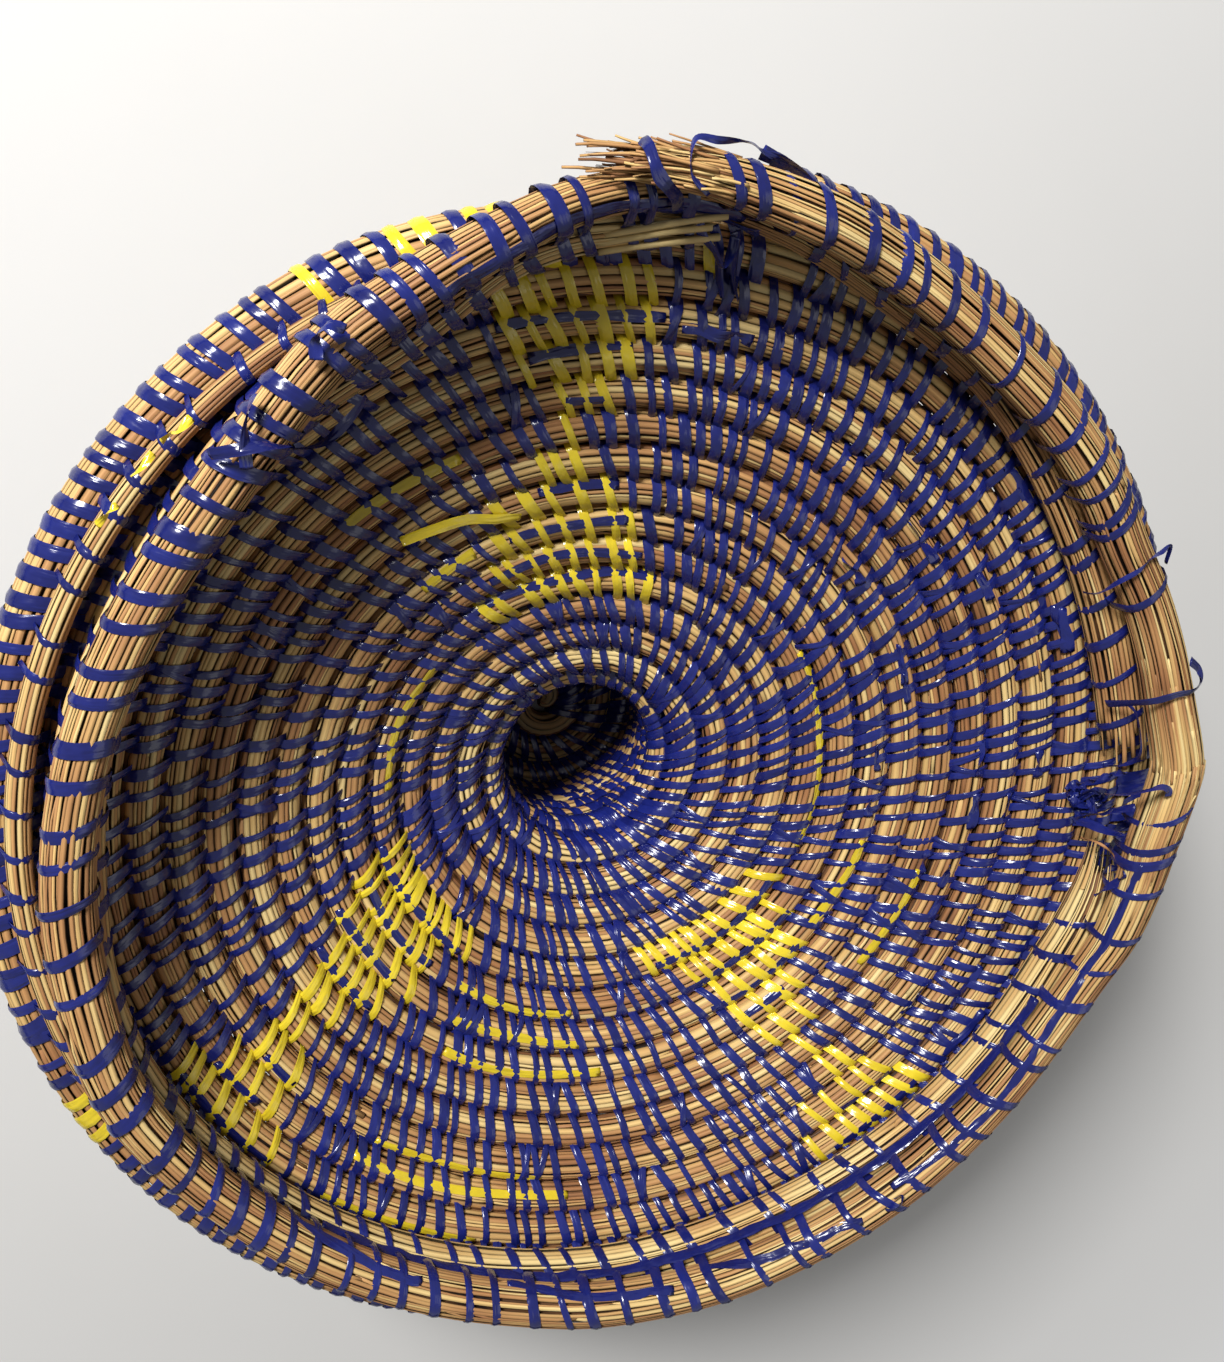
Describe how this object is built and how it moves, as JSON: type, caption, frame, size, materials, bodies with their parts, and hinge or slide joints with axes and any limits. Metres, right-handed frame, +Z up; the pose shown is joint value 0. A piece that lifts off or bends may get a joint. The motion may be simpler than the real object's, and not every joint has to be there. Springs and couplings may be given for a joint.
{
  "type": "coiled basket",
  "caption": "Coiled grass basket: a wide, shallow funnel on a hollow stem, with a raised ring round its mouth, sewn with blue and yellow plastic strip.",
  "frame": {"origin": "under the middle of the foot, on the surface that the basket stands on", "axes": "+Z up along the winding's axis, out of the mouth; +X to the right in the picture, towards the cut ends of the ring's bundles"},
  "size_m": [0.3612, 0.3621, 0.171],
  "materials": {
    "grass": "dry straw and reddish-brown grass stems, matt, laid side by side in bundles",
    "blue_strip": "flat ultramarine plastic strip, glossy and slightly crumpled",
    "yellow_strip": "flat yellow plastic strip, glossy and slightly crumpled"
  },
  "bodies": {
    "root": {"blue_carried_strip_01": "blue_strip", "blue_carried_strip_02": "blue_strip", "blue_carried_strip_03": "blue_strip", "blue_carried_strip_04": "blue_strip", "blue_carried_strip_05": "blue_strip", "blue_carried_strip_06": "blue_strip", "blue_carried_strip_07": "blue_strip", "blue_carried_strip_08": "blue_strip", "blue_carried_strip_09": "blue_strip", "blue_carried_strip_10": "blue_strip", "blue_carried_strip_11": "blue_strip", "blue_carried_strip_12": "blue_strip", "blue_carried_strip_13": "blue_strip", "blue_carried_strip_14": "blue_strip", "blue_carried_strip_15": "blue_strip", "blue_carried_strip_16": "blue_strip", "blue_carried_strip_17": "blue_strip", "blue_carried_strip_18": "blue_strip", "blue_carried_strip_19": "blue_strip", "blue_carried_strip_20": "blue_strip", "blue_ring_strip": "blue_strip", "edge_coil": "grass", "foot_coil": "grass", "funnel_inner_coil": "grass", "funnel_outer_coil": "grass", "groove_coil": "grass", "knot_blue": "blue_strip", "ring_end_bundle": "grass", "ring_low_bundle": "grass", "ring_main_bundle": "grass", "stem_coil": "grass", "yellow_carried_strip_01": "yellow_strip", "yellow_carried_strip_02": "yellow_strip", "yellow_carried_strip_03": "yellow_strip", "yellow_carried_strip_04": "yellow_strip", "yellow_carried_strip_05": "yellow_strip", "yellow_carried_strip_06": "yellow_strip", "yellow_carried_strip_07": "yellow_strip", "yellow_carried_strip_08": "yellow_strip", "yellow_carried_strip_09": "yellow_strip", "yellow_carried_strip_10": "yellow_strip", "yellow_carried_strip_11": "yellow_strip", "yellow_tail_01": "yellow_strip"}
  },
  "joints": []
}
